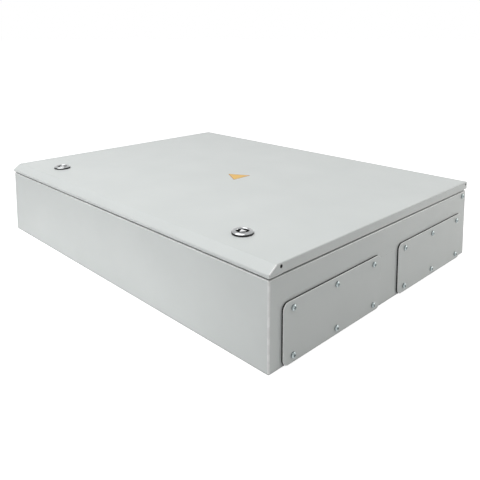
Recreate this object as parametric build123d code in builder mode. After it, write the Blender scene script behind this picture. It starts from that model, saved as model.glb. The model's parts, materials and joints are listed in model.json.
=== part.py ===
from build123d import *
import math
import os

# A wall enclosure folded from steel sheet, lying on its back with its door up, in millimetres.
# X runs along its height on the wall, from the top end at -X to the cable end at +X.
# Y runs across it, from the lock side at -Y to the hinge side at +Y, and +Z goes out of the door.
# The origin is the middle of the back's outer face.

# Body shell
body_length = 800.0
body_width = 600.0
body_height = 134.0
body_sheet = 1.5
body_inner_corner = 1.5
body_inner_bend = 0.5
rim_width = 28.0
collar_height = 13.0
collar_inner_corner = 5.0
wall_hole = 9.0
wall_hole_inset = 40.0

# Door
door_overhang = 1.0
door_gap = 1.3
door_height = 17.7
door_sheet = 1.5
door_inner_bend = 0.8
bevel_run = 16.0
bevel_drop = 9.5
foot_step = 0.9
foot_step_length = 25.0
bend_relief = 2.2
hinge_edge_rise = 2.7
hinge_edge_notch = 11.5
hanging_hole = 5.2
hanging_hole_drop = 5.1
hanging_hole_lock_inset = 24.3
hanging_hole_hinge_inset = 6.2

# Foam seal on the door, which closes on the collar
seal_width = 10.0
seal_gap = 0.3

# Stiffening channel on the inside of the door
channel_length = 640.0
channel_crown = 30.0
channel_foot = 15.0
channel_depth = 12.0
channel_slot_length = 16.0
channel_slot_width = 6.0
channel_slot_pitch = 50.0
channel_slot_count = 12

# Hinges
hinge_end_inset = 110.0
hinge_length = 56.0
hinge_sheet = 1.5
pivot_inset = 2.5
pivot_rise = 6.5
pin_width = 3.0
pin_head_width = 4.6
pin_head_length = 1.2
knuckle_width = 7.0
door_knuckle_length = 19.6
knuckle_side_gap = 0.2
pin_fixed_clearance = 0.03
pin_running_clearance = 0.05
leaf_reach = 17.5
door_leaf_reach = 15.5
hinge_cutout_gap = 1.5
hinge_fastener_spacing = 36.0
hinge_fastener_reach = 10.5
hinge_screw_size = 4.0
hinge_screw_head = 7.0
hinge_screw_head_height = 2.0
hinge_screw_length = 9.0
hinge_nut_flats = 7.0
hinge_nut_height = 3.2
door_stud_size = 4.0
door_stud_length = 8.0

# Quarter turn locks
lock_end_inset = 112.0
lock_side_inset = 62.5
bezel_width = 34.5
bezel_height = 3.8
bezel_rim = 1.2
bezel_dish = 24.5
bezel_lip = 0.8
lock_washer_sheet = 1.6
lock_washer_inset = 0.2
housing_width = 22.0
housing_flats = 20.0
housing_hole_gap = 0.2
recess_width = 20.0
recess_depth = 6.8
core_disc_height = 3.0
core_disc_clearance = 0.1
core_width = 12.0
core_clearance = 0.05
core_end_gap = 0.2
insert_radius = 6.6
insert_below_bezel = 1.0
lock_nut_flats = 27.0
lock_nut_height = 5.0
cam_gap = 0.3
cam_sheet = 3.0
cam_width = 15.0
cam_reach = 44.0
cam_square = 8.0
cam_square_clearance = 0.05
cam_bolt_size = 5.0
cam_bolt_length = 12.0
cam_bolt_head = 8.6
cam_bolt_head_height = 3.2

# Gland plates on the cable end
gland_plate_length = 245.0
gland_plate_height = 92.0
gland_plate_corner = 11.0
gland_plate_sheet = 1.5
gland_seal_sheet = 2.0
gland_spacing = 303.5
gland_height_above_back = 47.3
gland_opening_length = 186.0
gland_opening_height = 54.0
gland_opening_corner = 5.0
gland_screw_spacing = 101.5
gland_screw_row_spacing = 69.6
gland_screw_size = 5.0
gland_screw_head = 9.0
gland_screw_head_height = 3.2
gland_screw_length = 16.0
screw_hole_gap = 0.3
rivet_nut_width = 7.0
rivet_nut_flange = 9.0
rivet_nut_flange_sheet = 0.8
rivet_nut_length = 11.0
rivet_nut_bulge = 8.4
rivet_seal_gap = 0.5

# Earth screw on the cable end
earth_screw_side_inset = 16.8
earth_screw_height = 125.3
earth_screw_length = 12.0
earth_nut_flats = 8.0
earth_nut_height = 4.0
earth_washer_width = 10.0
washer_sheet = 1.0

# Mounting plate on its shouldered studs
plate_length = 680.0
plate_width = 490.0
plate_sheet = 1.5
plate_corner = 6.0
plate_fold = 8.0
plate_hole_gap = 0.5
stud_inset_length = 40.0
stud_inset_width = 42.0
stud_shoulder_width = 14.0
stud_shoulder_height = 19.5
stud_size = 8.0
stud_thread_length = 18.0
stud_nut_flats = 13.0
stud_nut_height = 6.5
stud_washer_width = 16.0

# Earth studs welded inside the body and the door
inner_stud_size = 6.0
inner_stud_length = 18.0
inner_nut_flats = 10.0
inner_nut_height = 5.0
inner_washer_width = 12.0
body_stud_end_inset = 35.0
body_stud_side_inset = 120.0
door_stud_end_inset = 70.0
door_stud_side_inset = 75.0

# Shape of a screw's head as shares of its size, and the clearance in every nut's bore
head_bevel = 0.45
cross_length = 0.55
cross_width = 0.14
cross_depth = 0.5
thread_clearance = 0.05

# Blank triangular label on the door
label_side = 50.0
label_corner = 1.5
label_sheet = 0.15
label_x = 41.0
label_y = -7.0

# Heights that follow
rim_top = body_height
rim_under = rim_top - body_sheet
collar_top = rim_top + collar_height
door_foot = rim_top + door_gap
door_top = door_foot + door_height
door_inside = door_top - door_sheet
seal_foot = collar_top + seal_gap
pivot_z = rim_top + pivot_rise
plate_under = body_sheet + stud_shoulder_height
plate_top = plate_under + plate_sheet

# Places across and along that follow
end_x = body_length / 2
side_y = body_width / 2
door_end_x = end_x + door_overhang
door_side_y = side_y + door_overhang
collar_length = body_length - 2 * rim_width
collar_width = body_width - 2 * rim_width
pivot_y = side_y - pivot_inset
hinge_places = [end_x - hinge_end_inset, hinge_end_inset - end_x]
leaf_back_y = pivot_y - knuckle_width / 2
leaf_inner_y = leaf_back_y + hinge_sheet
hinge_fastener_y = leaf_back_y - hinge_fastener_reach
lock_places = [end_x - lock_end_inset, lock_end_inset - end_x]
lock_y = lock_side_inset - side_y
gland_places = [-gland_spacing / 2, gland_spacing / 2]
gland_screw_grid = (gland_screw_spacing, gland_screw_row_spacing)

os.makedirs("parts", exist_ok=True)


def rounded_block(length, width, low, high, corner, bend):
    """A block with rounded upright corners and rounded low and high edges, as folded sheet has."""
    with BuildPart() as block:
        with BuildSketch(Plane.XY.offset(low)):
            RectangleRounded(length, width, corner)
        extrude(amount=high - low)
        fillet(block.faces().sort_by(Axis.Z)[0].edges(), radius=bend)
        fillet(block.faces().sort_by(Axis.Z)[-1].edges(), radius=bend)
    return block.part


def cross_screw(size, length, head, head_height):
    """A pan head cross screw that points down from Z = 0, with its head above."""
    with BuildPart() as screw:
        with BuildSketch(Plane.XY):
            Circle(head / 2)
        extrude(amount=head_height)
        chamfer(
            screw.edges().sort_by(Axis.Z)[-1],
            length=head_height * head_bevel,
            length2=head / 2 * head_bevel,
        )
        with BuildSketch(Plane.XY):
            Circle(size / 2)
        extrude(amount=-length)
        with BuildSketch(Plane.XY.offset(head_height)):
            Rectangle(head * cross_length, head * cross_width)
            Rectangle(head * cross_width, head * cross_length)
        extrude(amount=-head_height * cross_depth, mode=Mode.SUBTRACT)
    return screw.part


def hex_nut(flats, height, size):
    """A hexagon nut that stands up from Z = 0."""
    with BuildPart() as nut:
        with BuildSketch(Plane.XY):
            RegularPolygon(flats / 2, 6, major_radius=False)
            Circle(size / 2 + thread_clearance, mode=Mode.SUBTRACT)
        extrude(amount=height)
    return nut.part


def washer(width, sheet, size):
    """A flat washer that stands up from Z = 0."""
    with BuildPart() as ring:
        with BuildSketch(Plane.XY):
            Circle(width / 2)
            Circle(size / 2 + screw_hole_gap, mode=Mode.SUBTRACT)
        extrude(amount=sheet)
    return ring.part


def stud(size, length):
    """A welded stud that stands up from Z = 0."""
    with BuildPart() as rod:
        with BuildSketch(Plane.XY):
            Circle(size / 2)
        extrude(amount=length)
        chamfer(rod.edges().sort_by(Axis.Z)[-1], length=size * 0.08)
    return rod.part


# Planes that fasteners are placed from, each with its local Z out of the face that carries them
end_face = Plane.YZ.offset(end_x)
end_inside = Plane(origin=(end_x - body_sheet, 0, 0), x_dir=(0, 1, 0), z_dir=(-1, 0, 0))
back_inside = Plane.XY.offset(body_sheet)
rim_face = Plane.XY.offset(rim_top)
rim_inside = Plane(origin=(0, 0, rim_under), x_dir=(1, 0, 0), z_dir=(0, 0, -1))
door_inner_face = Plane(origin=(0, 0, door_inside), x_dir=(1, 0, 0), z_dir=(0, 0, -1))

# Body shell: back, four walls, rim turned inwards and the collar that stands up from it
with BuildPart() as body_shell:
    add(
        rounded_block(
            body_length,
            body_width,
            0,
            rim_top,
            body_inner_corner + body_sheet,
            body_inner_bend + body_sheet,
        )
    )
    with BuildSketch(rim_face):
        RectangleRounded(collar_length, collar_width, collar_inner_corner + body_sheet)
    extrude(amount=collar_height)
    add(
        rounded_block(
            body_length - 2 * body_sheet,
            body_width - 2 * body_sheet,
            body_sheet,
            rim_under,
            body_inner_corner,
            body_inner_bend,
        ),
        mode=Mode.SUBTRACT,
    )
    with BuildSketch(Plane.XY.offset(rim_under)):
        RectangleRounded(
            collar_length - 2 * body_sheet,
            collar_width - 2 * body_sheet,
            collar_inner_corner,
        )
    extrude(amount=collar_top - rim_under, mode=Mode.SUBTRACT)
    with BuildSketch(Plane.XY):
        with GridLocations(
            body_length - 2 * wall_hole_inset, body_width - 2 * wall_hole_inset, 2, 2
        ):
            Circle(wall_hole / 2)
    extrude(amount=body_sheet, mode=Mode.SUBTRACT)
    with BuildSketch(end_face):
        for y in gland_places:
            with Locations((y, gland_height_above_back)):
                RectangleRounded(
                    gland_opening_length, gland_opening_height, gland_opening_corner
                )
                with GridLocations(*gland_screw_grid, 3, 2):
                    Circle(rivet_nut_width / 2)
        with Locations((side_y - earth_screw_side_inset, earth_screw_height)):
            Circle(gland_screw_size / 2 + screw_hole_gap)
    extrude(amount=-body_sheet, mode=Mode.SUBTRACT)
    with BuildSketch(rim_face):
        for x in hinge_places:
            with Locations((x, hinge_fastener_y)):
                with GridLocations(hinge_fastener_spacing, 0, 2, 1):
                    Circle(hinge_screw_size / 2 + screw_hole_gap)
    extrude(amount=-body_sheet, mode=Mode.SUBTRACT)
body_shell.part.label = "body_shell"
export_step(body_shell.part, "parts/body_shell.step")

# Gland plates with their seals, screws and rivet nuts, one set for each opening
for number, y in enumerate(gland_places, start=1):
    with BuildPart() as gland_seal:
        with BuildSketch(end_face):
            with Locations((y, gland_height_above_back)):
                RectangleRounded(gland_plate_length, gland_plate_height, gland_plate_corner)
                RectangleRounded(
                    gland_opening_length,
                    gland_opening_height,
                    gland_opening_corner,
                    mode=Mode.SUBTRACT,
                )
                with GridLocations(*gland_screw_grid, 3, 2):
                    Circle(rivet_nut_flange / 2 + rivet_seal_gap, mode=Mode.SUBTRACT)
        extrude(amount=gland_seal_sheet)
    gland_seal.part.label = f"gland_seal_{number}"
    export_step(gland_seal.part, f"parts/gland_seal_{number}.step")

    with BuildPart() as gland_plate:
        with BuildSketch(end_face.offset(gland_seal_sheet)):
            with Locations((y, gland_height_above_back)):
                RectangleRounded(gland_plate_length, gland_plate_height, gland_plate_corner)
                with GridLocations(*gland_screw_grid, 3, 2):
                    Circle(gland_screw_size / 2 + screw_hole_gap, mode=Mode.SUBTRACT)
        extrude(amount=gland_plate_sheet)
    gland_plate.part.label = f"gland_plate_{number}"
    export_step(gland_plate.part, f"parts/gland_plate_{number}.step")

    with BuildPart() as gland_screws:
        with Locations(end_face.offset(gland_seal_sheet + gland_plate_sheet)):
            with Locations((y, gland_height_above_back, 0)):
                with GridLocations(*gland_screw_grid, 3, 2):
                    add(
                        cross_screw(
                            gland_screw_size,
                            gland_screw_length,
                            gland_screw_head,
                            gland_screw_head_height,
                        )
                    )
    gland_screws.part.label = f"gland_screws_{number}"
    export_step(gland_screws.part, f"parts/gland_screws_{number}.step")

    with BuildPart() as rivet_nut:
        with BuildSketch(Plane.XZ):
            with BuildLine():
                Polyline(
                    (gland_screw_size / 2 + thread_clearance, rivet_nut_flange_sheet),
                    (rivet_nut_flange / 2, rivet_nut_flange_sheet),
                    (rivet_nut_flange / 2, 0),
                    (rivet_nut_width / 2, 0),
                    (rivet_nut_width / 2, -body_sheet),
                    (rivet_nut_bulge / 2, -body_sheet),
                    (rivet_nut_bulge / 2, -rivet_nut_length),
                    (gland_screw_size / 2 + thread_clearance, -rivet_nut_length),
                    close=True,
                )
            make_face()
        revolve(axis=Axis.Z)
    with BuildPart() as gland_rivet_nuts:
        with Locations(end_face):
            with Locations((y, gland_height_above_back, 0)):
                with GridLocations(*gland_screw_grid, 3, 2):
                    add(rivet_nut.part)
    gland_rivet_nuts.part.label = f"gland_rivet_nuts_{number}"
    export_step(gland_rivet_nuts.part, f"parts/gland_rivet_nuts_{number}.step")

# Earth screw through the end wall, with its washer and nut inside
with BuildPart() as earth_screw:
    with Locations(end_face):
        with Locations((side_y - earth_screw_side_inset, earth_screw_height, 0)):
            add(
                cross_screw(
                    gland_screw_size,
                    earth_screw_length,
                    gland_screw_head,
                    gland_screw_head_height,
                )
            )
earth_screw.part.label = "earth_screw"
export_step(earth_screw.part, "parts/earth_screw.step")

with BuildPart() as earth_washer:
    with Locations(end_inside):
        with Locations((side_y - earth_screw_side_inset, -earth_screw_height, 0)):
            add(washer(earth_washer_width, washer_sheet, gland_screw_size))
earth_washer.part.label = "earth_washer"
export_step(earth_washer.part, "parts/earth_washer.step")

with BuildPart() as earth_nut:
    with Locations(end_inside.offset(washer_sheet)):
        with Locations((side_y - earth_screw_side_inset, -earth_screw_height, 0)):
            add(hex_nut(earth_nut_flats, earth_nut_height, gland_screw_size))
earth_nut.part.label = "earth_nut"
export_step(earth_nut.part, "parts/earth_nut.step")

# Shouldered studs on the back, and the mounting plate that they carry
stud_grid = (plate_length - 2 * stud_inset_length, plate_width - 2 * stud_inset_width)
with BuildPart() as mounting_stud:
    with BuildSketch(back_inside):
        Circle(stud_shoulder_width / 2)
    extrude(amount=stud_shoulder_height)
    with BuildSketch(Plane.XY.offset(plate_under)):
        Circle(stud_size / 2)
    extrude(amount=stud_thread_length)
    chamfer(mounting_stud.edges().sort_by(Axis.Z)[-1], length=stud_size * 0.08)
with BuildPart() as mounting_studs:
    with GridLocations(*stud_grid, 2, 2):
        add(mounting_stud.part)
mounting_studs.part.label = "mounting_studs"
export_step(mounting_studs.part, "parts/mounting_studs.step")

with BuildPart() as mounting_plate:
    with BuildSketch(Plane.XY.offset(plate_under)):
        RectangleRounded(plate_length, plate_width, plate_corner)
        with GridLocations(*stud_grid, 2, 2):
            Circle(stud_size / 2 + plate_hole_gap, mode=Mode.SUBTRACT)
    extrude(amount=plate_sheet)
    with BuildSketch(Plane.XY.offset(plate_under)):
        for y in (-1, 1):
            with Locations((0, y * (plate_width - plate_sheet) / 2)):
                Rectangle(plate_length - 2 * plate_corner, plate_sheet)
    extrude(amount=-plate_fold)
mounting_plate.part.label = "mounting_plate"
export_step(mounting_plate.part, "parts/mounting_plate.step")

with BuildPart() as mounting_washers:
    with Locations(Plane.XY.offset(plate_top)):
        with GridLocations(*stud_grid, 2, 2):
            add(washer(stud_washer_width, washer_sheet, stud_size))
mounting_washers.part.label = "mounting_washers"
export_step(mounting_washers.part, "parts/mounting_washers.step")

with BuildPart() as mounting_nuts:
    with Locations(Plane.XY.offset(plate_top + washer_sheet)):
        with GridLocations(*stud_grid, 2, 2):
            add(hex_nut(stud_nut_flats, stud_nut_height, stud_size))
mounting_nuts.part.label = "mounting_nuts"
export_step(mounting_nuts.part, "parts/mounting_nuts.step")

# Earth stud on the back, with its washer and nut
body_stud_place = (end_x - body_stud_end_inset, side_y - body_stud_side_inset, 0)
with BuildPart() as body_earth_stud:
    with Locations(back_inside):
        with Locations(body_stud_place):
            add(stud(inner_stud_size, inner_stud_length))
body_earth_stud.part.label = "body_earth_stud"
export_step(body_earth_stud.part, "parts/body_earth_stud.step")

with BuildPart() as body_earth_washer:
    with Locations(back_inside):
        with Locations(body_stud_place):
            add(washer(inner_washer_width, washer_sheet, inner_stud_size))
body_earth_washer.part.label = "body_earth_washer"
export_step(body_earth_washer.part, "parts/body_earth_washer.step")

with BuildPart() as body_earth_nut:
    with Locations(back_inside.offset(washer_sheet)):
        with Locations(body_stud_place):
            add(hex_nut(inner_nut_flats, inner_nut_height, inner_stud_size))
body_earth_nut.part.label = "body_earth_nut"
export_step(body_earth_nut.part, "parts/body_earth_nut.step")


def door_section(inset, foot):
    """The door's section across Y, drawn a given distance inside its outer faces."""
    with BuildSketch() as section:
        with BuildLine():
            Polyline(
                (-door_side_y, foot - inset),
                (-door_side_y, door_top - bevel_drop),
                (-door_side_y + bevel_run, door_top),
                (door_side_y, door_top),
                (door_side_y, foot - inset),
                close=True,
            )
        make_face()
        if inset > 0:
            offset(amount=-inset, kind=Kind.INTERSECTION, mode=Mode.REPLACE)
    return section.sketch


def door_block(inset, foot, bend):
    """The door's outer block, or the block of air inside it, with its bends along X rounded."""
    length = 2 * (door_end_x - inset)
    with BuildPart() as block:
        with BuildSketch(Plane.YZ.offset(-length / 2)):
            add(door_section(inset, foot))
        extrude(amount=length)
        long_bends = block.edges().filter_by(Axis.X).sort_by(Axis.Z)[-3:]
        end_bends = block.edges().filter_by(Axis.Y).group_by(Axis.Z)[-1]
        fillet(long_bends + end_bends, radius=bend)
    return block.part


# Door panel: a shallow pan with a bevel along its lock side
hinge_cut_low = door_foot + hinge_edge_rise
hinge_cut_high = pivot_z + knuckle_width / 2 + hinge_cutout_gap
hanging_hole_z = door_top - hanging_hole_drop
with BuildPart() as door_panel:
    add(door_block(0, door_foot, door_inner_bend + door_sheet))
    add(
        door_block(door_sheet, door_foot - door_sheet, door_inner_bend),
        mode=Mode.SUBTRACT,
    )
    with BuildSketch(Plane.YZ.offset(-door_end_x)):
        with Locations((door_side_y, door_foot)):
            Rectangle(hinge_edge_notch, hinge_edge_rise, align=(Align.MAX, Align.MIN))
        with Locations((-door_side_y + foot_step_length, door_foot)):
            Rectangle(
                2 * door_side_y - foot_step_length,
                foot_step,
                align=(Align.MIN, Align.MIN),
            )
    extrude(amount=2 * door_end_x, mode=Mode.SUBTRACT)
    with BuildSketch(Plane.YZ.offset(-door_end_x)):
        with Locations((-door_side_y + door_sheet, door_top - bevel_drop)):
            Circle(bend_relief / 2)
    extrude(amount=door_sheet, mode=Mode.SUBTRACT)
    with BuildSketch(Plane.YZ.offset(door_end_x)):
        with Locations((-door_side_y + door_sheet, door_top - bevel_drop)):
            Circle(bend_relief / 2)
    extrude(amount=-door_sheet, mode=Mode.SUBTRACT)
    with BuildSketch(Plane.YZ.offset(door_end_x)):
        with Locations((hanging_hole_lock_inset - door_side_y, hanging_hole_z)):
            Circle(hanging_hole / 2)
        with Locations((door_side_y - hanging_hole_hinge_inset, hanging_hole_z)):
            Circle(hanging_hole / 2)
    extrude(amount=-door_sheet, mode=Mode.SUBTRACT)
    with BuildSketch(Plane.XZ.offset(-door_side_y)):
        for x in hinge_places:
            with Locations((x, hinge_cut_low)):
                Rectangle(
                    hinge_length + 2 * hinge_cutout_gap + 2 * pin_head_length,
                    hinge_cut_high - hinge_cut_low,
                    align=(Align.CENTER, Align.MIN),
                )
    extrude(amount=door_sheet, mode=Mode.SUBTRACT)
    for x in lock_places:
        with BuildSketch(Plane(origin=(x, lock_y, door_inside))):
            Circle(housing_width / 2 + housing_hole_gap)
            Rectangle(
                2 * housing_width,
                housing_flats + 2 * housing_hole_gap,
                mode=Mode.INTERSECT,
            )
        extrude(amount=door_sheet, mode=Mode.SUBTRACT)
door_panel.part.label = "door_panel"
export_step(door_panel.part, "parts/door_panel.step")

# Foam seal in a ring over the collar
seal_middle_corner = collar_inner_corner + body_sheet / 2
with BuildPart() as door_seal:
    with BuildSketch(Plane.XY.offset(seal_foot)):
        RectangleRounded(
            collar_length - body_sheet + seal_width,
            collar_width - body_sheet + seal_width,
            seal_middle_corner + seal_width / 2,
        )
        RectangleRounded(
            collar_length - body_sheet - seal_width,
            collar_width - body_sheet - seal_width,
            max(seal_middle_corner - seal_width / 2, 0.5),
            mode=Mode.SUBTRACT,
        )
    extrude(amount=door_inside - seal_foot)
door_seal.part.label = "door_seal"
export_step(door_seal.part, "parts/door_seal.step")

# Stiffening channel with a row of slots, welded to the door by its feet
channel_half = channel_crown / 2
channel_foot_edge = channel_half + channel_foot
channel_crown_z = door_inside - channel_depth
with BuildPart() as door_channel:
    with BuildSketch(Plane.YZ.offset(-channel_length / 2)):
        with BuildLine():
            Polyline(
                (-channel_foot_edge, door_inside),
                (-channel_half + door_sheet, door_inside),
                (-channel_half + door_sheet, channel_crown_z + door_sheet),
                (channel_half - door_sheet, channel_crown_z + door_sheet),
                (channel_half - door_sheet, door_inside),
                (channel_foot_edge, door_inside),
                (channel_foot_edge, door_inside - door_sheet),
                (channel_half, door_inside - door_sheet),
                (channel_half, channel_crown_z),
                (-channel_half, channel_crown_z),
                (-channel_half, door_inside - door_sheet),
                (-channel_foot_edge, door_inside - door_sheet),
                close=True,
            )
        make_face()
    extrude(amount=channel_length)
    with BuildSketch(Plane.XY.offset(channel_crown_z)):
        with GridLocations(channel_slot_pitch, 0, channel_slot_count, 1):
            SlotOverall(channel_slot_length, channel_slot_width)
    extrude(amount=door_sheet, mode=Mode.SUBTRACT)
door_channel.part.label = "door_channel"
export_step(door_channel.part, "parts/door_channel.step")

# Earth stud inside the door, with its washer and nut
door_stud_place = (end_x - door_stud_end_inset, door_stud_side_inset - side_y, 0)
with BuildPart() as door_earth_stud:
    with Locations(door_inner_face):
        with Locations(door_stud_place):
            add(stud(inner_stud_size, inner_stud_length))
door_earth_stud.part.label = "door_earth_stud"
export_step(door_earth_stud.part, "parts/door_earth_stud.step")

with BuildPart() as door_earth_washer:
    with Locations(door_inner_face):
        with Locations(door_stud_place):
            add(washer(inner_washer_width, washer_sheet, inner_stud_size))
door_earth_washer.part.label = "door_earth_washer"
export_step(door_earth_washer.part, "parts/door_earth_washer.step")

with BuildPart() as door_earth_nut:
    with Locations(door_inner_face.offset(washer_sheet)):
        with Locations(door_stud_place):
            add(hex_nut(inner_nut_flats, inner_nut_height, inner_stud_size))
door_earth_nut.part.label = "door_earth_nut"
export_step(door_earth_nut.part, "parts/door_earth_nut.step")

# Blank triangular label on the door, one corner towards the top end
with BuildPart() as door_label:
    with BuildSketch(Plane(origin=(label_x, label_y, door_top))) as label_outline:
        RegularPolygon(label_side / math.sqrt(3), 3, rotation=180)
        fillet(label_outline.vertices(), radius=label_corner)
    extrude(amount=label_sheet)
door_label.part.label = "door_label"
export_step(door_label.part, "parts/door_label.step")

# Concealed hinges: a leaf on the rim, a leaf in the door and the pin between them
outer_knuckle_start = door_knuckle_length / 2 + knuckle_side_gap
outer_knuckle_length = hinge_length / 2 - outer_knuckle_start


def knuckle(start, length, web_low, web_high, clearance):
    """A rolled knuckle about the hinge line, with the web that joins it to its leaf."""
    with BuildPart() as roll:
        with BuildSketch(Plane.YZ.offset(start)):
            with Locations((leaf_back_y, web_low)):
                Rectangle(hinge_sheet, web_high - web_low, align=(Align.MIN, Align.MIN))
            with Locations((pivot_y, pivot_z)):
                Circle(knuckle_width / 2)
                Circle(pin_width / 2 + clearance, mode=Mode.SUBTRACT)
        extrude(amount=length)
    return roll.part


for number, x in enumerate(hinge_places, start=1):
    with BuildPart() as hinge_body_leaf:
        with BuildSketch(rim_face):
            with Locations((x, leaf_inner_y)):
                Rectangle(hinge_length, leaf_reach, align=(Align.CENTER, Align.MAX))
            with Locations((x, hinge_fastener_y)):
                with GridLocations(hinge_fastener_spacing, 0, 2, 1):
                    Circle(hinge_screw_size / 2 + screw_hole_gap, mode=Mode.SUBTRACT)
        extrude(amount=hinge_sheet)
        for start in (-hinge_length / 2, outer_knuckle_start):
            add(
                knuckle(
                    x + start,
                    outer_knuckle_length,
                    rim_top,
                    pivot_z,
                    pin_fixed_clearance,
                )
            )
    hinge_body_leaf.part.label = f"hinge_body_leaf_{number}"
    export_step(hinge_body_leaf.part, f"parts/hinge_body_leaf_{number}.step")

    with BuildPart() as hinge_door_leaf:
        with BuildSketch(Plane.XY.offset(door_inside - hinge_sheet)):
            with Locations((x, leaf_inner_y)):
                Rectangle(hinge_length, door_leaf_reach, align=(Align.CENTER, Align.MAX))
            with Locations((x, hinge_fastener_y)):
                with GridLocations(hinge_fastener_spacing, 0, 2, 1):
                    Circle(door_stud_size / 2 + screw_hole_gap, mode=Mode.SUBTRACT)
        extrude(amount=hinge_sheet)
        add(
            knuckle(
                x - door_knuckle_length / 2,
                door_knuckle_length,
                pivot_z,
                door_inside,
                pin_running_clearance,
            )
        )
    hinge_door_leaf.part.label = f"hinge_door_leaf_{number}"
    export_step(hinge_door_leaf.part, f"parts/hinge_door_leaf_{number}.step")

    with BuildPart() as hinge_pin:
        with BuildSketch(Plane(origin=(x - hinge_length / 2, pivot_y, pivot_z), z_dir=(1, 0, 0))):
            Circle(pin_width / 2)
        extrude(amount=hinge_length + pin_head_length)
        with BuildSketch(Plane(origin=(x - hinge_length / 2, pivot_y, pivot_z), z_dir=(-1, 0, 0))):
            Circle(pin_head_width / 2)
        extrude(amount=pin_head_length)
    hinge_pin.part.label = f"hinge_pin_{number}"
    export_step(hinge_pin.part, f"parts/hinge_pin_{number}.step")

with BuildPart() as hinge_screws:
    for x in hinge_places:
        with Locations((x, hinge_fastener_y, rim_top + hinge_sheet)):
            with GridLocations(hinge_fastener_spacing, 0, 2, 1):
                add(
                    cross_screw(
                        hinge_screw_size,
                        hinge_screw_length,
                        hinge_screw_head,
                        hinge_screw_head_height,
                    )
                )
hinge_screws.part.label = "hinge_screws"
export_step(hinge_screws.part, "parts/hinge_screws.step")

with BuildPart() as hinge_screw_nuts:
    for x in hinge_places:
        with Locations((x, hinge_fastener_y, rim_under - hinge_nut_height)):
            with GridLocations(hinge_fastener_spacing, 0, 2, 1):
                add(hex_nut(hinge_nut_flats, hinge_nut_height, hinge_screw_size))
hinge_screw_nuts.part.label = "hinge_screw_nuts"
export_step(hinge_screw_nuts.part, "parts/hinge_screw_nuts.step")

with BuildPart() as hinge_door_studs:
    for x in hinge_places:
        with Locations(door_inner_face):
            with Locations((x, -hinge_fastener_y, 0)):
                with GridLocations(hinge_fastener_spacing, 0, 2, 1):
                    add(stud(door_stud_size, door_stud_length))
hinge_door_studs.part.label = "hinge_door_studs"
export_step(hinge_door_studs.part, "parts/hinge_door_studs.step")

with BuildPart() as hinge_door_nuts:
    for x in hinge_places:
        with Locations(door_inner_face.offset(hinge_sheet)):
            with Locations((x, -hinge_fastener_y, 0)):
                with GridLocations(hinge_fastener_spacing, 0, 2, 1):
                    add(hex_nut(hinge_nut_flats, hinge_nut_height, door_stud_size))
hinge_door_nuts.part.label = "hinge_door_nuts"
export_step(hinge_door_nuts.part, "parts/hinge_door_nuts.step")

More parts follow.
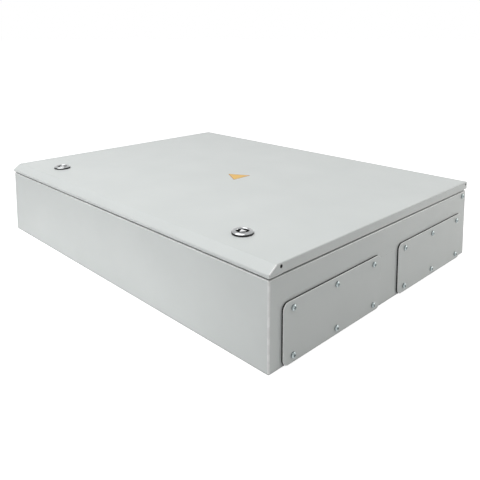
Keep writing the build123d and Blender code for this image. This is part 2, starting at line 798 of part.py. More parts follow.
# Quarter turn locks, from the bezel outside to the cam under the rim
bezel_foot = door_top + lock_washer_sheet
bezel_top = bezel_foot + bezel_height
recess_floor = bezel_top - recess_depth
housing_foot = rim_under
disc_foot = recess_floor - core_disc_height
cam_top = housing_foot - cam_gap
cam_foot = cam_top - cam_sheet
insert_top = bezel_top - insert_below_bezel
for number, x in enumerate(lock_places, start=1):
    with BuildPart() as lock_housing:
        with BuildSketch(Plane(origin=(x, lock_y, housing_foot))):
            Circle(housing_width / 2)
            Rectangle(2 * housing_width, housing_flats, mode=Mode.INTERSECT)
        extrude(amount=bezel_foot - housing_foot)
        with BuildSketch(Plane(origin=(x, lock_y, 0), x_dir=(1, 0, 0), z_dir=(0, -1, 0))):
            with BuildLine():
                Polyline(
                    (0, bezel_top),
                    (0, bezel_foot),
                    (bezel_width / 2, bezel_foot),
                    (bezel_width / 2, bezel_foot + bezel_rim),
                )
                TangentArc(
                    (bezel_dish / 2, bezel_top),
                    (bezel_width / 2, bezel_foot + bezel_rim),
                    tangent=(1, 0),
                )
                Line((bezel_dish / 2, bezel_top), (0, bezel_top))
            make_face()
        revolve(axis=Axis((x, lock_y, 0), (0, 0, 1)))
        with BuildSketch(Plane(origin=(x, lock_y, disc_foot - core_end_gap))):
            Circle(recess_width / 2)
        extrude(amount=bezel_top - disc_foot + core_end_gap, mode=Mode.SUBTRACT)
        with BuildSketch(Plane(origin=(x, lock_y, housing_foot))):
            Circle(core_width / 2 + core_clearance)
        extrude(amount=disc_foot - housing_foot, mode=Mode.SUBTRACT)
        chamfer(
            lock_housing.faces().sort_by(Axis.Z)[-1].edges().sort_by(SortBy.LENGTH)[0],
            length=bezel_rim,
            length2=(bezel_dish - recess_width) / 2 - bezel_lip,
        )
    lock_housing.part.label = f"lock_housing_{number}"
    export_step(lock_housing.part, f"parts/lock_housing_{number}.step")

    with BuildPart() as lock_washer:
        with BuildSketch(Plane(origin=(x, lock_y, door_top))):
            Circle(bezel_width / 2 - lock_washer_inset)
            Circle(housing_width / 2 + housing_hole_gap, mode=Mode.SUBTRACT)
        extrude(amount=lock_washer_sheet)
    lock_washer.part.label = f"lock_washer_{number}"
    export_step(lock_washer.part, f"parts/lock_washer_{number}.step")

    with BuildPart() as lock_nut:
        with BuildSketch(Plane(origin=(x, lock_y, door_inside - lock_nut_height))):
            RegularPolygon(lock_nut_flats / 2, 6, major_radius=False)
            Circle(housing_width / 2 + thread_clearance, mode=Mode.SUBTRACT)
        extrude(amount=lock_nut_height)
    lock_nut.part.label = f"lock_nut_{number}"
    export_step(lock_nut.part, f"parts/lock_nut_{number}.step")

    with BuildPart() as lock_core:
        with BuildSketch(Plane(origin=(x, lock_y, disc_foot))):
            Circle(recess_width / 2 - core_disc_clearance)
        extrude(amount=core_disc_height)
        with BuildSketch(Plane(origin=(x, lock_y, recess_floor))) as insert_outline:
            RegularPolygon(insert_radius, 3, rotation=-90)
            fillet(insert_outline.vertices(), radius=insert_radius * 0.1)
        extrude(amount=insert_top - recess_floor)
        with BuildSketch(Plane(origin=(x, lock_y, cam_top))):
            Circle(core_width / 2)
        extrude(amount=disc_foot - cam_top)
        with BuildSketch(Plane(origin=(x, lock_y, cam_foot))):
            Rectangle(cam_square, cam_square)
        extrude(amount=cam_sheet)
        with BuildSketch(Plane(origin=(x, lock_y, cam_foot))):
            Circle(cam_bolt_size / 2 + thread_clearance)
        extrude(amount=cam_bolt_length, mode=Mode.SUBTRACT)
    lock_core.part.label = f"lock_core_{number}"
    export_step(lock_core.part, f"parts/lock_core_{number}.step")

    with BuildPart() as lock_cam:
        with BuildSketch(Plane(origin=(x, lock_y, cam_foot))):
            Circle(cam_width / 2)
            Rectangle(cam_reach, cam_width, align=(Align.MAX, Align.CENTER))
            Rectangle(
                cam_square + 2 * cam_square_clearance,
                cam_square + 2 * cam_square_clearance,
                mode=Mode.SUBTRACT,
            )
        extrude(amount=cam_sheet)
        tip_edges = lock_cam.edges().filter_by(Axis.Z).group_by(Axis.X)[0]
        fillet(tip_edges, radius=cam_width * 0.3)
    lock_cam.part.label = f"lock_cam_{number}"
    export_step(lock_cam.part, f"parts/lock_cam_{number}.step")

    with BuildPart() as lock_cam_bolt:
        with BuildSketch(Plane(origin=(x, lock_y, cam_foot - washer_sheet))):
            Circle(cam_bolt_head * 0.75)
        extrude(amount=washer_sheet)
        with BuildSketch(Plane(origin=(x, lock_y, cam_foot - washer_sheet - cam_bolt_head_height))):
            RegularPolygon(cam_bolt_head / 2, 6, major_radius=False)
        extrude(amount=cam_bolt_head_height)
        with BuildSketch(Plane(origin=(x, lock_y, cam_foot))):
            Circle(cam_bolt_size / 2)
        extrude(amount=cam_bolt_length - cam_gap)
    lock_cam_bolt.part.label = f"lock_cam_bolt_{number}"
    export_step(lock_cam_bolt.part, f"parts/lock_cam_bolt_{number}.step")
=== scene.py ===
import json
import math

import bmesh
import bpy
from mathutils import Matrix, Vector


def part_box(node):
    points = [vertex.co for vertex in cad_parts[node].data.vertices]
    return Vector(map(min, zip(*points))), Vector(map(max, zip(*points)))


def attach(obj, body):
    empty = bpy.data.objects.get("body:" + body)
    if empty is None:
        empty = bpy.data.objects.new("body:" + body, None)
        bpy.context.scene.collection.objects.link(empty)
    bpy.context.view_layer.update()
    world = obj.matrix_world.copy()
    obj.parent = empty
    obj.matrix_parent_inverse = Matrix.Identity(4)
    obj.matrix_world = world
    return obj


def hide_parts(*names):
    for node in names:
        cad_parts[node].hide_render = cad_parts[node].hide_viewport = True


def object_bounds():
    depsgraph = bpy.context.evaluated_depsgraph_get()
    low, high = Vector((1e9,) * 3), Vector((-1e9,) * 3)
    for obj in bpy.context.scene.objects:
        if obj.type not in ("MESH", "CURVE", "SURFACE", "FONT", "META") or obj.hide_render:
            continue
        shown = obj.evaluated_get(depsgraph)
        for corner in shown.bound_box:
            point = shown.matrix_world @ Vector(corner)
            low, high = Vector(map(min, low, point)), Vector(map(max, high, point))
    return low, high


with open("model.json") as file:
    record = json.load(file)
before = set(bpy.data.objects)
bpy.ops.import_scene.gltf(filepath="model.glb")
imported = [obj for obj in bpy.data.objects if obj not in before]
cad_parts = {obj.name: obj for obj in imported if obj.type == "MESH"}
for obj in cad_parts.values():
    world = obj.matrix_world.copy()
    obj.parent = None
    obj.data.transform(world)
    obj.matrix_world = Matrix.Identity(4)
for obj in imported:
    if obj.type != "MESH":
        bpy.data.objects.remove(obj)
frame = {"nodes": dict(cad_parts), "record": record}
cad_low, cad_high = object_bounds()

# Lengths are in metres, and MM turns millimetres into them
MM = 0.001

# Camera, at the photograph's viewing angle. Focus and horizon are in pixels of the square
# image, and the sensor's width is in millimetres, as Blender takes it.
IMAGE = 480
SENSOR = 36.0
CAMERA_PLACE = Vector((0.8694, -0.8165, 0.4588))
CAMERA_HEADING = math.radians(135.390)
CAMERA_PITCH = math.radians(7.007)
CAMERA_FOCUS = 558.15
CAMERA_HORIZON = 100
CAMERA_FAR = 100.0

# Lights: the world's strength, the four lamps' powers in watts, and the floor under them
WORLD_LIGHT = 0.22
TOP_LIGHT = 47.0
SIDE_LIGHT = 0.8
END_LIGHT = 7.2
END_COLOUR = (1.0, 0.98, 0.94)
BENCH_LIGHT = 0.55
BENCH_FAN = 90.0
FLOOR_GREY = (0.60, 0.60, 0.60, 1.0)
FLOOR_GLOW = 0.90
FLOOR_RADIUS = 30.0
FLOOR_SEGMENTS = 64
FLOOR_GAP = 0.2 * MM
WHITE = (1.0, 1.0, 1.0, 1.0)

# How a copy of a CAD node is cleaned before its edges are broken
MERGE_REACH = 0.002 * MM
FLAT_ANGLE = math.radians(0.3)
SHARP_ANGLE = math.radians(50.0)

# Widths of the broken edges
PAINT_EDGE = 0.5 * MM
DOOR_EDGE = 0.3 * MM
PLATE_EDGE = 0.7 * MM
RIM_EDGE = 0.35 * MM
METAL_EDGE = 0.15 * MM
EDGE_SEGMENTS = 2

# Body: how near its upright corners and its rim the folds start. A face belongs to a fold
# when its normal leans from an axis by more than TURNED and less than STRAIGHT.
# The folds picked here are coloured with the painted highlight, a paler coat along the corners
# and the rim bend.
BODY_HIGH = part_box("body_shell")[1]
BODY_RIM = BODY_HIGH.z - 12.9 * MM
BODY_BEND = 2.2 * MM
BODY_CORNER = 2.8 * MM
TURNED = 0.1
STRAIGHT = 0.95

# Door: its bevel as the CAD has it and as the photograph shows it, its foot, and the hanging
# hole by the lock side, whose wall faces the door's end by less than HOLE_WALL and is painted
# black as shade
DOOR_LOW, DOOR_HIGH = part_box("door_panel")
BEVEL_RUN = 16.0 * MM
CAD_BEVEL_DROP = 9.5 * MM
BEVEL_DROP = 11.2 * MM
FOLD_REACH = 3.0 * MM
FOOT_RISE = 1.5 * MM
FOOT_LEVEL = 0.3 * MM
FOOT_STEP_LEVEL = 1.2 * MM
HANGING_HOLE = Vector((-276.7, 147.9)) * MM
HOLE_REACH = 3.2 * MM
HOLE_DROP = 0.4 * MM
HOLE_WALL = 0.5

# Bead along each slanted end of the bevel, a little shorter than the slant, coloured with the
# painted highlight
BEAD_RADIUS = 1.2 * MM
BEAD_SUNK = 0.8 * MM
BEAD_SHORTER = 1.4 * MM
BEAD_SEGMENTS = 16
BEAD_ROUNDING = 0.6 * MM
BEAD_ROUNDING_SEGMENTS = 3

# Label: a triangle of 50 mm with rounded corners, so its tip falls short of a sharp one.
# The margin shows up to LABEL_STEP of the film's thickness, and the field rises above it.
LABEL_RADIUS = 50.0 * MM / math.sqrt(3)
LABEL_TIP = 1.5 * MM
LABEL_CORNER = 2.6 * MM
LABEL_CORNER_SEGMENTS = 5
LABEL_MARGIN = 1.8 * MM
LABEL_STEP = 0.6

# Locks: the bezel and its low flank, the recess under its lip, and the insert's head. The flank
# and the recess wall are painted black as dark reflection and shade, and the head is painted
# bright as a highlight.
BEZEL_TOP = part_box("lock_housing_1")[1].z
BEZEL_FLANK = 15.5 * MM
FLANK_HEIGHT = 1.7 * MM
RECESS_RADIUS = 10.1 * MM
RECESS_LIP = 1.0 * MM
INSERT_RADIUS = 7.0 * MM
INSERT_HEIGHT = 5.6 * MM

# Body and material slot of each CAD node
BODY_OF = {}
for body_name, body_nodes in frame["record"]["behaviour"]["bodies"].items():
    for body_node in body_nodes:
        BODY_OF[body_node] = body_name
SLOT_OF = {part["node"]: part["material_slot"] for part in frame["record"]["subparts"]}


# Material nodes

def new_material(name):
    """A node material with its shader and its object coordinates."""
    material = bpy.data.materials.new(name)
    material.use_nodes = True
    tree = material.node_tree
    shader = tree.nodes["Principled BSDF"]
    place = tree.nodes.new("ShaderNodeTexCoord")
    return material, tree, shader, place.outputs["Object"]


def noise(tree, place, scale, detail=2.0, roughness=0.5):
    """A noise pattern with so many waves to the metre."""
    node = tree.nodes.new("ShaderNodeTexNoise")
    node.inputs["Scale"].default_value = scale
    node.inputs["Detail"].default_value = detail
    node.inputs["Roughness"].default_value = roughness
    tree.links.new(place, node.inputs["Vector"])
    return node.outputs["Fac"]


def spread(tree, value, low, high, start=0.3, end=0.7):
    """Maps a pattern to a range of numbers."""
    node = tree.nodes.new("ShaderNodeMapRange")
    node.inputs["From Min"].default_value = start
    node.inputs["From Max"].default_value = end
    node.inputs["To Min"].default_value = low
    node.inputs["To Max"].default_value = high
    tree.links.new(value, node.inputs["Value"])
    return node.outputs["Result"]


def blend_colours(tree, value, low, high, start=0.3, end=0.7):
    """Runs between two colours as a pattern rises."""
    node = tree.nodes.new("ShaderNodeValToRGB")
    first, last = node.color_ramp.elements
    first.position = start
    first.color = (*low, 1.0)
    last.position = end
    last.color = (*high, 1.0)
    tree.links.new(value, node.inputs["Fac"])
    return node.outputs["Color"]


def paint_shade_in_crevices(tree, colour, reach, darkest, closed=0.2, open_from=0.6, samples=8):
    """Paints shade into a colour where faces stand close together, as in the gap under the
    door.
    """
    sky = tree.nodes.new("ShaderNodeAmbientOcclusion")
    sky.samples = samples
    sky.inputs["Distance"].default_value = reach
    share = spread(
        tree, sky.outputs["AO"], low=darkest, high=1.0, start=closed, end=open_from)
    mix = tree.nodes.new("ShaderNodeMix")
    mix.data_type = "RGBA"
    mix.blend_type = "MULTIPLY"
    mix.inputs["Factor"].default_value = 1.0
    tree.links.new(colour, mix.inputs["A"])
    tree.links.new(share, mix.inputs["B"])
    return mix.outputs["Result"]


def bump(tree, shader, height, distance, strength=1.0):
    """Raises a pattern on the surface, distance being its full height."""
    node = tree.nodes.new("ShaderNodeBump")
    node.inputs["Strength"].default_value = strength
    node.inputs["Distance"].default_value = distance
    tree.links.new(height, node.inputs["Height"])
    tree.links.new(node.outputs["Normal"], shader.inputs["Normal"])


# Finishes

def powder_coat(name, low, high):
    """Powder coat with a fine orange peel and the faintest mottle, and painted shade darkening
    its crevices.
    """
    material, tree, shader, place = new_material(name)
    mottle = noise(tree, place, scale=9.0, detail=3.0)
    colour = blend_colours(tree, mottle, low, high)
    # painted shade: ambient occlusion darkens the coat's colour in crevices and in the gap
    # under the door
    shaded = paint_shade_in_crevices(tree, colour, reach=12.0 * MM, darkest=0.03)
    tree.links.new(shaded, shader.inputs["Base Color"])
    grain = noise(tree, place, scale=1500.0)
    tree.links.new(spread(tree, grain, low=0.40, high=0.52), shader.inputs["Roughness"])
    shader.inputs["Specular IOR Level"].default_value = 0.35
    orange_peel = noise(tree, place, scale=700.0, detail=3.0)
    bump(tree, shader, orange_peel, distance=0.05 * MM, strength=0.35)
    return material


def edge_highlight_coat(name, low, high):
    """A paler, glossier copy of the coat, a painted highlight along sheet edges, bends and
    beads.
    """
    material, tree, shader, place = new_material(name)
    mottle = noise(tree, place, scale=60.0)
    tree.links.new(blend_colours(tree, mottle, low, high), shader.inputs["Base Color"])
    tree.links.new(spread(tree, mottle, low=0.22, high=0.32), shader.inputs["Roughness"])
    shader.inputs["Specular IOR Level"].default_value = 0.6
    return material


def plated_steel(name, low, high, roughness, variation=0.06):
    """Plated steel with a faint cloudy sheen."""
    material, tree, shader, place = new_material(name)
    clouds = noise(tree, place, scale=160.0, detail=3.0)
    tree.links.new(blend_colours(tree, clouds, low, high), shader.inputs["Base Color"])
    shader.inputs["Metallic"].default_value = 1.0
    grain = noise(tree, place, scale=2500.0)
    sheen = spread(tree, grain, low=roughness - variation, high=roughness + variation)
    tree.links.new(sheen, shader.inputs["Roughness"])
    bump(tree, shader, grain, distance=0.01 * MM, strength=0.4)
    return material


def galvanised_sheet(name, low, high, scale):
    """Galvanised sheet with its spangle."""
    material, tree, shader, place = new_material(name)
    cells = tree.nodes.new("ShaderNodeTexVoronoi")
    cells.inputs["Scale"].default_value = scale
    tree.links.new(place, cells.inputs["Vector"])
    shade = tree.nodes.new("ShaderNodeRGBToBW")
    tree.links.new(cells.outputs["Color"], shade.inputs["Color"])
    spangle = shade.outputs["Val"]
    tree.links.new(blend_colours(tree, spangle, low, high), shader.inputs["Base Color"])
    tree.links.new(spread(tree, spangle, low=0.44, high=0.54), shader.inputs["Roughness"])
    shader.inputs["Metallic"].default_value = 1.0
    return material


def polished_chrome(name, low, high):
    """Polished chrome on a die casting, a little uneven as such castings are."""
    material, tree, shader, place = new_material(name)
    waves = noise(tree, place, scale=220.0)
    tree.links.new(blend_colours(tree, waves, low, high), shader.inputs["Base Color"])
    shader.inputs["Metallic"].default_value = 1.0
    tree.links.new(spread(tree, waves, low=0.06, high=0.13), shader.inputs["Roughness"])
    bump(tree, shader, waves, distance=0.05 * MM, strength=0.25)
    return material


def soft_black(name, low, high, roughness, scale, height):
    """Matte black rubber or foam with its pores."""
    material, tree, shader, place = new_material(name)
    pores = noise(tree, place, scale, detail=4.0, roughness=0.6)
    tree.links.new(blend_colours(tree, pores, low, high), shader.inputs["Base Color"])
    shader.inputs["Roughness"].default_value = roughness
    bump(tree, shader, pores, distance=height, strength=0.6)
    return material


def film(name, low, high):
    """Vinyl film, smooth with a slight ripple."""
    material, tree, shader, place = new_material(name)
    ripple = noise(tree, place, scale=90.0)
    tree.links.new(blend_colours(tree, ripple, low, high), shader.inputs["Base Color"])
    tree.links.new(spread(tree, ripple, low=0.28, high=0.36), shader.inputs["Roughness"])
    fine_ripple = noise(tree, place, scale=600.0)
    bump(tree, shader, fine_ripple, distance=0.02 * MM, strength=0.3)
    return material


MATERIALS = {
    "grey_paint": powder_coat(
        "light_grey_powder_coat", low=(0.650, 0.680, 0.671), high=(0.680, 0.709, 0.700)),
    "zinc": plated_steel(
        "zinc_plate", low=(0.26, 0.30, 0.305), high=(0.36, 0.405, 0.41), roughness=0.30),
    "galvanised": galvanised_sheet(
        "galvanised_sheet", low=(0.53, 0.55, 0.565), high=(0.585, 0.605, 0.62), scale=160.0),
    "chrome": polished_chrome(
        "polished_chrome", low=(0.36, 0.37, 0.375), high=(0.46, 0.47, 0.475)),
    "seal_rubber": soft_black(
        "seal_rubber", low=(0.012, 0.012, 0.013), high=(0.024, 0.024, 0.025),
        roughness=0.7, scale=900.0, height=0.05 * MM),
    "seal_foam": soft_black(
        "seal_foam", low=(0.035, 0.035, 0.037), high=(0.060, 0.060, 0.062),
        roughness=0.85, scale=500.0, height=0.15 * MM),
    "label_film": film(
        "amber_film", low=(0.74, 0.40, 0.02), high=(0.80, 0.46, 0.03)),
}
FILM_MARGIN = film(
    "ochre_film", low=(0.36, 0.17, 0.01), high=(0.42, 0.20, 0.015))
# painted highlight: a much paler copy of the chrome for the lock cores' rims and insert heads
CHROME_HIGHLIGHT = polished_chrome(
    "chrome_painted_highlight", low=(0.86, 0.87, 0.88), high=(0.93, 0.94, 0.95))
# painted highlight: this paler coat lights up edges, bends and the bevel beads
EDGE_HIGHLIGHT = edge_highlight_coat(
    "powder_coat_painted_highlight", low=(0.84, 0.85, 0.84), high=(0.92, 0.93, 0.92))
# painted shade: near-black metal for the lock recesses, the bezels' low flanks, the cores
# around their heads and the wall of the hanging hole
SHADE_BLACK = plated_steel(
    "painted_shade_black", low=(0.020, 0.020, 0.022), high=(0.034, 0.034, 0.036), roughness=0.42)


# Making and placing pieces

def finish_mesh(form, name):
    """Turns a bmesh into a mesh that is smooth but for its sharp edges."""
    mesh = bpy.data.meshes.new(name)
    form.to_mesh(mesh)
    form.free()
    if "custom_normal" in mesh.attributes:
        mesh.attributes.remove(mesh.attributes["custom_normal"])
    mesh.shade_smooth()
    mesh.set_sharp_from_angle(angle=SHARP_ANGLE)
    return mesh


def place_piece(name, mesh, node, finishes):
    """Puts a mesh in the scene with its finishes, on the body of a CAD node."""
    for finish in finishes:
        mesh.materials.append(finish)
    piece = bpy.data.objects.new(name, mesh)
    bpy.context.collection.objects.link(piece)
    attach(piece, BODY_OF[node])
    return piece


def dress(node, edge, others=(), edge_slot=-1, picks=None, reshape=None):
    """Stands in for a CAD node with a copy whose edges are broken as real ones are.

    picks gives a face's finish, 0 being the node's own and the others following,
    edge_slot is the finish of the edges, -1 being that of the faces beside them, and
    reshape changes the copy first.
    """
    form = bmesh.new()
    form.from_mesh(frame["nodes"][node].data)
    bmesh.ops.remove_doubles(form, verts=form.verts, dist=MERGE_REACH)
    bmesh.ops.dissolve_limit(form, angle_limit=FLAT_ANGLE, verts=form.verts, edges=form.edges)
    if reshape:
        reshape(form)
    for face in form.faces:
        face.material_index = int(picks(face)) if picks else 0
    mesh = finish_mesh(form, node + "_finish")
    piece = place_piece(node + "_finish", mesh, node, [MATERIALS[SLOT_OF[node]], *others])
    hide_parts(node)
    bevel = piece.modifiers.new("edges", "BEVEL")
    bevel.width = edge
    bevel.segments = EDGE_SEGMENTS
    bevel.limit_method = "ANGLE"
    bevel.angle_limit = SHARP_ANGLE
    bevel.use_clamp_overlap = False
    bevel.harden_normals = True
    bevel.miter_outer = "MITER_ARC"
    bevel.material = edge_slot


def middle_of(node):
    """The middle of a node's box."""
    low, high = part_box(node)
    return (low + high) / 2


# Body

def highlighted_folds_of_body(face):
    """Picks the rounded upright corners and the bend along the rim, which get a painted
    highlight.
    """
    place = face.calc_center_median()
    normal = face.normal
    beyond_x = abs(place.x) > BODY_HIGH.x - BODY_CORNER
    beyond_y = abs(place.y) > BODY_HIGH.y - BODY_CORNER
    turned = min(abs(normal.x), abs(normal.y)) > TURNED and abs(normal.z) < TURNED
    at_rim = BODY_RIM - BODY_BEND < place.z < BODY_RIM and TURNED < normal.z < STRAIGHT
    return beyond_x and beyond_y and turned or at_rim


# Door

def slim_skirt(form):
    """Brings the lock side fold down and the foot up, to the slim skirt of the real door.

    The hanging hole comes down too, clear of the bend above it.
    """
    fold = DOOR_HIGH.z - CAD_BEVEL_DROP
    for vert in form.verts:
        place = vert.co
        if abs(place.z - fold) < FOLD_REACH and place.y < DOOR_LOW.y + FOLD_REACH:
            place.z -= BEVEL_DROP - CAD_BEVEL_DROP
        elif place.z < DOOR_LOW.z + FOOT_LEVEL:
            place.z += FOOT_RISE
        elif place.z < DOOR_LOW.z + FOOT_STEP_LEVEL:
            place.z += FOOT_RISE - FOOT_LEVEL
        elif (place.yz - HANGING_HOLE).length < HOLE_REACH:
            place.z -= HOLE_DROP


def shade_inside_hole(face):
    """Picks the wall inside the hanging hole by the lock side, painted black as shade."""
    near = (face.calc_center_median().yz - HANGING_HOLE).length < HOLE_REACH
    return 2 if near and abs(face.normal.x) < HOLE_WALL else 0


def bevel_end_bead(name, end_x, sunk):
    """The ground bead along a slanted end of the door's bevel, sunk so far into the end,
    coloured with the painted highlight.
    """
    foot = Vector((0.0, DOOR_LOW.y, DOOR_HIGH.z - BEVEL_DROP))
    run = Vector((0.0, BEVEL_RUN, BEVEL_DROP))
    inwards = Vector((0.0, BEVEL_DROP, -BEVEL_RUN)).normalized() * BEAD_SUNK
    form = bmesh.new()
    bmesh.ops.create_cone(
        form, cap_ends=True, segments=BEAD_SEGMENTS, radius1=BEAD_RADIUS, radius2=BEAD_RADIUS,
        depth=run.length - BEAD_SHORTER)
    # Only the two caps have more than four corners
    rims = [edge for edge in form.edges if any(len(face.verts) > 4 for face in edge.link_faces)]
    bmesh.ops.bevel(
        form, geom=rims, offset=BEAD_ROUNDING, segments=BEAD_ROUNDING_SEGMENTS,
        profile=0.5, affect="EDGES", material=-1)
    turn = run.to_track_quat("Z", "X").to_matrix()
    bmesh.ops.rotate(form, verts=form.verts, matrix=turn)
    beside = Vector((end_x - math.copysign(sunk, end_x), 0.0, 0.0))
    bmesh.ops.translate(form, verts=form.verts, vec=foot + run / 2 + inwards + beside)
    place_piece(name, finish_mesh(form, name), "door_panel", [EDGE_HIGHLIGHT])


# Locks

def painted_dark_of_housing(node):
    """Picks the wall of a lock's recess and the low flank of its bezel, which are painted
    black, the wall as shade and the flank as a dark reflection.
    """
    centre = middle_of(node).xy
    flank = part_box(node.replace("housing", "washer"))[1].z

    def test(face):
        place = face.calc_center_median()
        out = (place.xy - centre).length
        in_recess = out < RECESS_RADIUS and place.z < BEZEL_TOP - RECESS_LIP
        on_flank = out > BEZEL_FLANK and flank < place.z < flank + FLANK_HEIGHT
        return in_recess or on_flank
    return test


def shade_and_highlight_of_core(node):
    """Paints a lock's core black as shade but for its triangular head, which is painted bright
    as a highlight.
    """
    centre = middle_of(node).xy
    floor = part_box(node)[1].z - INSERT_HEIGHT

    def test(face):
        place = face.calc_center_median()
        beside = place.z < floor or (place.xy - centre).length > INSERT_RADIUS
        return 1 if beside else 2
    return test


# Label

def film_triangle(form, radius, corner, foot, top, finish):
    """Adds a thin triangle with rounded corners, one of them towards the top end."""
    flat = bmesh.new()
    bmesh.ops.create_circle(flat, cap_ends=True, segments=3, radius=radius)
    bmesh.ops.bevel(
        flat, geom=flat.verts[:], offset=corner, segments=LABEL_CORNER_SEGMENTS,
        profile=0.5, affect="VERTICES", material=-1)
    turn = Matrix.Rotation(math.pi / 2, 3, "Z")
    middle_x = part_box("door_label")[0].x + LABEL_RADIUS - LABEL_TIP
    middle = Vector((middle_x, middle_of("door_label").y, 0.0))
    flat.faces.ensure_lookup_table()
    outline = [turn @ vert.co + middle for vert in flat.faces[0].verts]
    flat.free()
    lower = [form.verts.new((place.x, place.y, foot)) for place in outline]
    upper = [form.verts.new((place.x, place.y, top)) for place in outline]
    faces = [form.faces.new(lower), form.faces.new(upper)]
    for here in range(len(outline)):
        side = (lower[here - 1], lower[here], upper[here], upper[here - 1])
        faces.append(form.faces.new(side))
    for face in faces:
        face.material_index = finish


def label_film():
    """The blank amber triangle on the door, with a darker margin."""
    low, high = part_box("door_label")
    step = low.z + (high.z - low.z) * LABEL_STEP
    form = bmesh.new()
    film_triangle(form, LABEL_RADIUS, LABEL_CORNER, low.z, step, finish=1)
    film_triangle(
        form, LABEL_RADIUS - 2 * LABEL_MARGIN, LABEL_CORNER / 2, step, high.z, finish=0)
    bmesh.ops.recalc_face_normals(form, faces=form.faces)
    mesh = finish_mesh(form, "door_label_film")
    finishes = [MATERIALS["label_film"], FILM_MARGIN]
    piece = place_piece("door_label_film", mesh, "door_label", finishes)
    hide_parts("door_label")


# Pieces that stand in for their CAD nodes, and the beads beside them

# the body's folds and broken edges get the painted highlight
dress("body_shell", PAINT_EDGE, others=[EDGE_HIGHLIGHT], edge_slot=1, picks=highlighted_folds_of_body)
# the door's broken edges get the painted highlight, and the wall of its hanging hole painted
# shade
dress(
    "door_panel", DOOR_EDGE, others=[EDGE_HIGHLIGHT, SHADE_BLACK], edge_slot=1,
    picks=shade_inside_hole, reshape=slim_skirt)
# the gland plates' broken edges get the painted highlight
for plate in ("gland_plate_1", "gland_plate_2"):
    dress(plate, PLATE_EDGE, others=[EDGE_HIGHLIGHT], edge_slot=1)
# the recess walls are painted black as shade and the low flanks as a dark reflection
for housing in ("lock_housing_1", "lock_housing_2"):
    dress(housing, RIM_EDGE, others=[SHADE_BLACK], picks=painted_dark_of_housing(housing))
# cores painted black as shade, with a painted highlight on their heads and rims
for core in ("lock_core_1", "lock_core_2"):
    dress(
        core, METAL_EDGE, others=[SHADE_BLACK, CHROME_HIGHLIGHT], edge_slot=2,
        picks=shade_and_highlight_of_core(core))
for screws in ("gland_screws_1", "gland_screws_2", "earth_screw"):
    dress(screws, METAL_EDGE)
# the beads carry the painted highlight along the bevel's slanted ends
bevel_end_bead("bevel_bead_cable_end", DOOR_HIGH.x, sunk=BEAD_SUNK)
bevel_end_bead("bevel_bead_top_end", DOOR_LOW.x, sunk=BEAD_RADIUS)
label_film()


# Finishes of the CAD nodes

for node, obj in frame["nodes"].items():
    if obj.data.materials:
        for slot in obj.material_slots:
            slot.material = MATERIALS[SLOT_OF[node]]
    else:
        obj.data.materials.append(MATERIALS[SLOT_OF[node]])


# Stage: pale floor, plain studio lights and the camera

def area_light(name, place, aim, width, depth, power, fan=180.0):
    """A soft box at a place, turned towards a point, that lights a fan of so many degrees."""
    data = bpy.data.lights.new(name, "AREA")
    data.shape = "RECTANGLE"
    data.size = width
    data.size_y = depth
    data.energy = power
    data.spread = math.radians(fan)
    lamp = bpy.data.objects.new(name, data)
    bpy.context.collection.objects.link(lamp)
    lamp.location = place
    lamp.visible_camera = False
    towards = Vector(aim) - Vector(place)
    lamp.rotation_euler = towards.to_track_quat("-Z", "Y").to_euler()
    return lamp


def larger(tree, one, other):
    """The larger of two values."""
    node = tree.nodes.new("ShaderNodeMath")
    node.operation = "MAXIMUM"
    tree.links.new(one, node.inputs[0])
    tree.links.new(other, node.inputs[1])
    return node.outputs["Value"]


def white_to_eye(tree, output, seen, lit):
    """Shows one shader to camera, mirror and glass rays, and gives another to the light."""
    path = tree.nodes.new("ShaderNodeLightPath").outputs
    mirrored = larger(tree, path["Is Camera Ray"], path["Is Glossy Ray"])
    looking = larger(tree, mirrored, path["Is Transmission Ray"])
    mix = tree.nodes.new("ShaderNodeMixShader")
    tree.links.new(looking, mix.inputs["Fac"])
    tree.links.new(lit, mix.inputs[1])
    tree.links.new(seen, mix.inputs[2])
    tree.links.new(mix.outputs["Shader"], output)


def make_world():
    """An even pale world that shows as white."""
    world = bpy.data.worlds.new("pale_room")
    bpy.context.scene.world = world
    world.use_nodes = True
    tree = world.node_tree
    lit = tree.nodes["Background"]
    lit.inputs["Color"].default_value = WHITE
    lit.inputs["Strength"].default_value = WORLD_LIGHT
    seen = tree.nodes.new("ShaderNodeBackground")
    seen.inputs["Color"].default_value = WHITE
    seen.inputs["Strength"].default_value = 1.0
    output = tree.nodes["World Output"].inputs["Surface"]
    white_to_eye(tree, output, seen.outputs["Background"], lit.outputs["Background"])


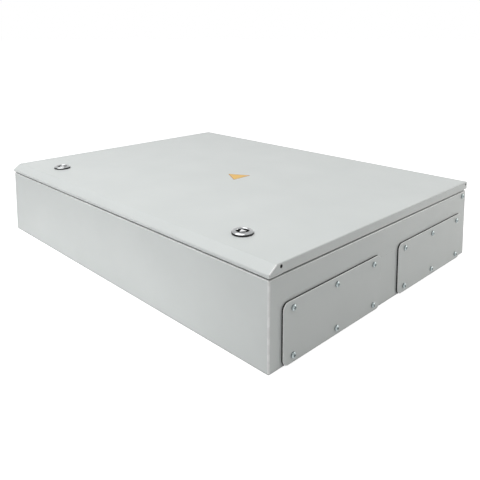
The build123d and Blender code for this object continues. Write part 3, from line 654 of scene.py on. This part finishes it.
def make_floor():
    """A wide pale floor that keeps a soft shadow."""
    form = bmesh.new()
    bmesh.ops.create_circle(form, cap_ends=True, segments=FLOOR_SEGMENTS, radius=FLOOR_RADIUS)
    bmesh.ops.translate(form, verts=form.verts, vec=(0.0, 0.0, cad_low.z - FLOOR_GAP))
    floor = bpy.data.objects.new("floor", finish_mesh(form, "floor"))
    bpy.context.collection.objects.link(floor)
    material = bpy.data.materials.new("pale_floor")
    material.use_nodes = True
    tree = material.node_tree
    paper = tree.nodes["Principled BSDF"]
    paper.inputs["Base Color"].default_value = FLOOR_GREY
    paper.inputs["Roughness"].default_value = 0.9
    paper.inputs["Specular IOR Level"].default_value = 0.0
    glow = tree.nodes.new("ShaderNodeEmission")
    glow.inputs["Strength"].default_value = FLOOR_GLOW
    both = tree.nodes.new("ShaderNodeAddShader")
    tree.links.new(paper.outputs["BSDF"], both.inputs[0])
    tree.links.new(glow.outputs["Emission"], both.inputs[1])
    output = tree.nodes["Material Output"].inputs["Surface"]
    white_to_eye(tree, output, both.outputs["Shader"], paper.outputs["BSDF"])
    floor.data.materials.append(material)


def make_camera():
    """The photograph's camera. The shift keeps upright edges nearly upright, as there."""
    data = bpy.data.cameras.new("camera")
    data.sensor_width = SENSOR
    data.lens = CAMERA_FOCUS / IMAGE * SENSOR
    data.shift_y = (CAMERA_HORIZON - IMAGE / 2) / IMAGE
    data.clip_end = CAMERA_FAR
    camera = bpy.data.objects.new("camera", data)
    bpy.context.collection.objects.link(camera)
    camera.location = CAMERA_PLACE
    level = math.cos(CAMERA_PITCH)
    forward = Vector((
        math.cos(CAMERA_HEADING) * level,
        math.sin(CAMERA_HEADING) * level,
        -math.sin(CAMERA_PITCH),
    ))
    camera.rotation_euler = forward.to_track_quat("-Z", "Y").to_euler()
    bpy.context.scene.camera = camera


def make_lights():
    """Four soft boxes: above, from the lock side, from the cable end and low by the wall."""
    area_light(
        "top_box", place=(-0.1, -1.0, 2.1), aim=(0.0, 0.0, 0.15),
        width=2.4, depth=2.2, power=TOP_LIGHT)
    area_light(
        "lock_side_box", place=(-1.5, -2.2, 1.1), aim=(-0.2, -0.3, 0.1),
        width=1.8, depth=1.4, power=SIDE_LIGHT)
    end_lamp = area_light(
        "end_box", place=(1.35, 1.3, 0.55), aim=(0.4, 0.2, 0.1),
        width=0.8, depth=0.8, power=END_LIGHT)
    end_lamp.data.color = END_COLOUR
    bench_lamp = area_light(
        "bench_box", place=(-0.08, -0.50, 0.30), aim=(-0.08, -0.50, 0.0),
        width=0.8, depth=0.1, power=BENCH_LIGHT, fan=BENCH_FAN)
    bench_lamp.visible_glossy = False


make_world()
make_floor()
make_camera()
make_lights()
bpy.context.scene.view_settings.view_transform = "Standard"
